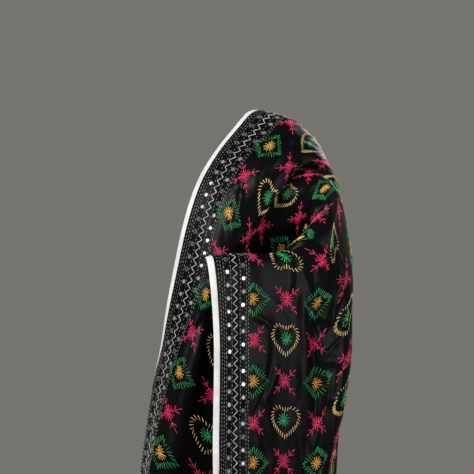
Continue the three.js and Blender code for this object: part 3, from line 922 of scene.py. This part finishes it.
class DupattaCloth(PropertyGroup):
    thickness: FloatProperty(
        name="Cloth thickness", description="Wall of the silk cloth",
        default=0.0009, min=0.0004, max=0.0015, subtype="DISTANCE")
    crease_depth: FloatProperty(
        name="Crease depth", description="How deep the small creases are", default=1.25, min=0, max=2)
    ripple: FloatProperty(
        name="Ripple", description="Height of the slight waviness between creases, in millimetres",
        default=0.55, min=0, max=2)
    sheen: FloatProperty(
        name="Sheen", description="Strength of the silk's soft sheen",
        default=0.02, min=0, max=1, subtype="FACTOR")
    ground_colour: FloatVectorProperty(
        name="Ground colour", description="Black of the silk", default=(0.0018, 0.0019, 0.0024),
        min=0, max=1, subtype="COLOR")
    white_colour: FloatVectorProperty(
        name="Edging colour", description="White of the satin tape", default=(0.90, 0.89, 0.87),
        min=0, max=1, subtype="COLOR")


class DupattaStitches(PropertyGroup):
    floss_height: FloatProperty(
        name="Floss height", description="How far a stitch stands out of the cloth",
        default=0.0014, min=0.0005, max=0.003, subtype="DISTANCE")
    thickness: FloatProperty(
        name="Floss width", description="Width of the stitches, as a share of the charted one",
        default=1.0, min=0.5, max=1.6, subtype="FACTOR")
    star_colour: FloatVectorProperty(
        name="Star colour", description="Rose pink of the stars", default=(0.98, 0.020, 0.14),
        min=0, max=1, subtype="COLOR")
    leaf_colour: FloatVectorProperty(
        name="Green colour", description="Green of the diamonds and heart centres",
        default=(0.025, 0.46, 0.15), min=0, max=1, subtype="COLOR")
    heart_colour: FloatVectorProperty(
        name="Heart colour", description="Pale gold of the hearts", default=(0.98, 0.60, 0.22),
        min=0, max=1, subtype="COLOR")
    centre_colour: FloatVectorProperty(
        name="Yellow colour", description="Warm yellow of the diamonds' centres",
        default=(1.0, 0.45, 0.06), min=0, max=1, subtype="COLOR")


class DupattaBorder(PropertyGroup):
    mirror_diameter: FloatProperty(
        name="Mirror diameter", description="Width of a mirror",
        default=0.0080, min=0.004, max=0.015, subtype="DISTANCE")
    mirror_pitch: FloatProperty(
        name="Mirror spacing", description="From one mirror to the next",
        default=0.030, min=0.015, max=0.08, subtype="DISTANCE")
    zigzag_pitch: FloatProperty(
        name="Zigzag spacing", description="Length of one zigzag",
        default=0.0195, min=0.01, max=0.05, subtype="DISTANCE")
    thread_colour: FloatVectorProperty(
        name="Thread colour", description="White of the border's thread", default=(0.86, 0.86, 0.84),
        min=0, max=1, subtype="COLOR")


class DupattaStage(PropertyGroup):
    lens: FloatProperty(
        name="Lens", description="Focal length of the camera, in millimetres",
        default=120, min=50, max=200)
    light: FloatProperty(
        name="Light", description="Strength of the studio light",
        default=1.0, min=0.1, max=4, subtype="FACTOR")
    floor_colour: FloatVectorProperty(
        name="Floor colour", description="Grey of the floor",
        default=(0.30, 0.29, 0.27), min=0, max=1, subtype="COLOR")


# One operator for each piece or group of pieces

class DUPATTA_OT_cloth(Operator):
    """Make the black silk cloth, in the parts that its CAD nodes have"""
    bl_idname = "dupatta.cloth"
    bl_label = "Cloth"

    def execute(self, context):
        settings = context.scene.dupatta_cloth
        material = silk(settings)
        along = DRAPE.along
        cuts = (
            ("cloth_front", "front_fall", along[0], FRONT_SEAM),
            ("cloth_shoulder", "shoulder_stretch", FRONT_SEAM, BACK_SEAM),
            ("cloth_back", "back_fall", BACK_SEAM, along[-1]),
        )
        for name, node, start, stop in cuts:
            inside = (along >= start - 1e-6) & (along <= stop + 1e-6)
            points, out = DRAPE.points[inside], DRAPE.normals[inside]
            a, u = np.meshgrid(DRAPE.across, along[inside])
            half = out * settings.thickness / 2
            mesh = shell_mesh(name, points + half, points - half, np.stack([a, u], -1) * MM, material)
            count = points.shape[0] * points.shape[1]
            directions = np.vstack([out.reshape(-1, 3), -out.reshape(-1, 3)])
            if len(mesh.vertices) != 2 * count:
                raise RuntimeError(name + " lost vertices")
            mesh.normals_split_custom_set_from_vertices(directions.tolist())
            fasten(new_object(name, mesh), "ground_cloth", node)
        return {"FINISHED"}


# The tape: its lap over the end edging, its grid, half its width, half its thickness at the edges
# and the crown on top of that, and the height of its puckers
TAPE_LAP, TAPE_ROWS, TAPE_COLUMNS, TAPE_HALF = 0.5, 420, 210, 7.2
TAPE_EDGE, TAPE_CROWN, TAPE_PUCKER = 0.35, 0.62, 0.22


class DUPATTA_OT_edging(Operator):
    """Make the white satin tape round the cloth"""
    bl_idname = "dupatta.edging"
    bl_label = "Edging"

    def execute(self, context):
        material = satin_tape(context.scene.dupatta_cloth)
        end = CLOTH_LENGTH / 2
        rows = np.linspace(-end + TRIM_WIDTH - TAPE_LAP, end - TRIM_WIDTH + TAPE_LAP, TAPE_ROWS)
        across = np.array([EDGE_GAP, 1.2, 3.5, 7, 10.5, 13.4, 14.6])
        columns = np.linspace(EDGE_GAP, CLOTH_WIDTH - EDGE_GAP, TAPE_COLUMNS)
        tapes = (
            ("neck_edging", across, rows, 1, ("neck_trim_front", "neck_trim_shoulder", "neck_trim_back")),
            ("wrist_edging", CLOTH_WIDTH - across[::-1], rows, 1,
             ("wrist_trim_front", "wrist_trim_shoulder", "wrist_trim_back")),
            ("front_end_edging", columns, -end + across, 0, ("end_trim_front",)),
            ("back_end_edging", columns, end - across[::-1], 0, ("end_trim_back",)),
        )
        for name, a, u, axis, nodes in tapes:
            points, out = DRAPE.grid(a, u)
            places = np.stack(np.meshgrid(a, u), -1)
            along, over = places[..., axis], places[..., 1 - axis]
            edge = np.minimum(over - over.min(), over.max() - over) / TAPE_HALF
            pucker = TAPE_PUCKER * np.sin(along / 4.1 + 1.5 * np.sin(along / 37)) * np.sin(along / 23 + 1)
            half = (TAPE_EDGE + TAPE_CROWN * np.sqrt(np.clip(edge, 0, 1))) * MM
            lift = (pucker * np.clip(edge * 2, 0, 1)) * MM
            outer = points + out * (half + np.maximum(lift, -half * 0.3))[..., None]
            inner = points - out * half[..., None]
            mesh = shell_mesh(name, outer, inner, places * MM, material)
            fasten(new_object(name, mesh), "edging", *nodes)
        return {"FINISHED"}


class DUPATTA_OT_field(Operator):
    """Embroider the stars, hearts and diamonds of the field"""
    bl_idname = "dupatta.field"
    bl_label = "Field embroidery"

    def execute(self, context):
        settings = context.scene.dupatta_stitches
        height, width = settings.floss_height, settings.thickness
        leaves = field_stitches("diamond", diamond, 21)
        leaves += field_stitches("heart", heart_centre, 22, lift=HEART_BURST_LIFT)
        for name, rows, thread, colour, seed in (
            ("pink_stars", field_stitches("star", star, 23), "pink_floss", settings.star_colour, 1),
            ("gold_hearts", field_stitches("heart", heart, 22), "gold_floss", settings.heart_colour, 2),
            ("green_strokes", leaves, "green_floss", settings.leaf_colour, 3),
            ("yellow_bursts", field_stitches("diamond", diamond_centre, 21),
             "yellow_floss", settings.centre_colour, 4),
        ):
            piece = lay_on_cloth(name, rows, floss(thread, colour), height, seed, width=width)
            fasten(piece, "ground_cloth")
        return {"FINISHED"}


class DUPATTA_OT_border(Operator):
    """Sew the border: running stitches, zigzag and mirrors in their rings"""
    bl_idname = "dupatta.border"
    bl_label = "Border"

    def execute(self, context):
        settings = context.scene.dupatta_border
        white = np.array(settings.thread_colour)
        thread, fine = floss("white_thread", white), floss("fine_thread", white * 0.5)
        diameter, pitch = settings.mirror_diameter / MM, settings.mirror_pitch / MM
        places, inner, outer = mirror_places(pitch), diameter * RING_INNER, diameter * RING_OUTER
        rings = [
            (a + inner * cos(t), u + inner * sin(t), a + outer * cos(t), u + outer * sin(t), RING_WIDTH)
            for a, u in places for t in np.arange(RING_STITCHES) * 2 * pi / RING_STITCHES
        ]
        discs = [(a - 1, u, a + 1, u, diameter) for a, u in places]
        for name, rows, material, height, seed, reverse in (
            ("running_stitches", running_stitches(31), fine, 0.0009, 5, True),
            ("zigzag", zigzag_stitches(settings.zigzag_pitch / MM), thread, 0.0013, 6, True),
            ("mirror_rings", rings, fine, 0.0012, 7, False),
        ):
            fasten(lay_on_cloth(name, rows, material, height, seed, both_sides=reverse), "ground_cloth")
        mirrors = lay_on_cloth("mirrors", discs, mirror_glass(), 0.0009, 8, disc=True, both_sides=False)
        fasten(mirrors, "ground_cloth")
        return {"FINISHED"}


class DUPATTA_OT_declare(Operator):
    bl_idname = "dupatta.declare"
    bl_label = "Declare the cloth"

    def execute(self, context):
        return {"FINISHED"}


# The middle of the view, to the right, towards the camera and up from where the cloth rests, the
# width of the view there and the floor, in metres. The camera's sensor is in millimetres.
VIEW_MIDDLE, VIEW_WIDTH, SENSOR = (-0.0355, 0.081, -0.3065), 1.115, 36
FLOOR_SIZE, FLOOR_GAP = 6, 0.04


class DUPATTA_OT_stage(Operator):
    """Set up the floor, the studio light and the camera"""
    bl_idname = "dupatta.stage"
    bl_label = "Stage"

    def execute(self, context):
        settings = context.scene.dupatta_stage
        toward, right = Vector((0.423, -0.906, 0)), Vector((0.906, 0.423, 0))
        up = Vector((0, 0, 1))
        half, floor_z = FLOOR_SIZE / 2, CAD_BOX[0][2] - FLOOR_GAP
        corners = [(x * half, y * half, floor_z) for x, y in ((-1, -1), (1, -1), (1, 1), (-1, 1))]
        mesh = bpy.data.meshes.new("floor")
        mesh.from_pydata(corners, [], [(0, 1, 2, 3)])
        material, nodes, surface = shader("grey_floor")
        colour = np.array(settings.floor_colour)
        nodes.link(ramp(nodes, spots(nodes, scale=3.0), colour * 0.96, colour),
                   surface.inputs["Base Color"])
        surface.inputs["Roughness"].default_value = 0.8
        mesh.materials.append(material)
        new_object("floor", mesh)

        middle = right * VIEW_MIDDLE[0] + toward * VIEW_MIDDLE[1] + up * VIEW_MIDDLE[2]
        for name, place, size, watts in (
            ("key_light", right * -1.9 + toward * 2.4 + up * 1.3, 1.3, 100),
            ("fill_light", right * 2.2 + toward * 1.8 + up * 0.2, 1.8, 30),
            ("rim_light", right * 1.5 + toward * -1.8 + up * 1.2, 1.2, 26),
            ("back_light", right * -1.2 + toward * -2.4 + up * 1.0, 2.0, 40),
        ):
            light = bpy.data.lights.new(name, "AREA")
            light.shape, light.size, light.energy = "DISK", size, watts * settings.light
            lamp = new_object(name, light)
            lamp.location = middle + place
            lamp.rotation_euler = (-place).to_track_quat("-Z", "Y").to_euler()
        world = bpy.data.worlds.new("studio")
        world.use_nodes = True
        world.node_tree.nodes["Background"].inputs["Color"].default_value = (0.36, 0.35, 0.32, 1)
        world.node_tree.nodes["Background"].inputs["Strength"].default_value = 0.5
        context.scene.world = world
        context.scene.view_settings.view_transform = "Standard"

        camera = bpy.data.cameras.new("camera")
        camera.lens, camera.sensor_width = settings.lens, SENSOR
        view = new_object("camera", camera)
        view.location = middle + toward * (VIEW_WIDTH * settings.lens / SENSOR)
        view.rotation_euler = (-toward).to_track_quat("-Z", "Y").to_euler()
        camera.clip_start, camera.clip_end = 0.05, 50
        context.scene.camera = view
        return {"FINISHED"}


OPERATORS = (
    DUPATTA_OT_stage, DUPATTA_OT_cloth, DUPATTA_OT_edging, DUPATTA_OT_field, DUPATTA_OT_border,
    DUPATTA_OT_declare,
)
GROUPS = (
    ("dupatta_cloth", DupattaCloth), ("dupatta_stitches", DupattaStitches),
    ("dupatta_border", DupattaBorder), ("dupatta_stage", DupattaStage),
)


class DUPATTA_PT_panel(Panel):
    """Sizes and colours of the dupatta, and a button for each group of pieces"""
    bl_idname = "DUPATTA_PT_panel"
    bl_label = "Embroidered dupatta"
    bl_space_type = "VIEW_3D"
    bl_region_type = "UI"
    bl_category = "Dupatta"

    def draw(self, context):
        for key, group in GROUPS:
            box = self.layout.box()
            for title in group.__annotations__:
                box.prop(getattr(context.scene, key), title)
        for operator in OPERATORS:
            self.layout.operator(operator.bl_idname)


def register():
    for key, group in GROUPS:
        bpy.utils.register_class(group)
        setattr(bpy.types.Scene, key, PointerProperty(type=group))
    for item in (*OPERATORS, DUPATTA_PT_panel):
        bpy.utils.register_class(item)


def unregister():
    for item in (DUPATTA_PT_panel, *reversed(OPERATORS)):
        bpy.utils.unregister_class(item)
    for key, group in reversed(GROUPS):
        delattr(bpy.types.Scene, key)
        bpy.utils.unregister_class(group)


DRAPE = None


def main():
    global DRAPE
    register()
    settings = bpy.context.scene.dupatta_cloth
    DRAPE = Drape(settings.crease_depth, settings.ripple)
    for operator in OPERATORS:
        group, name = operator.bl_idname.split(".")
        getattr(getattr(bpy.ops, group), name)()


if __name__ == "__main__":
    main()
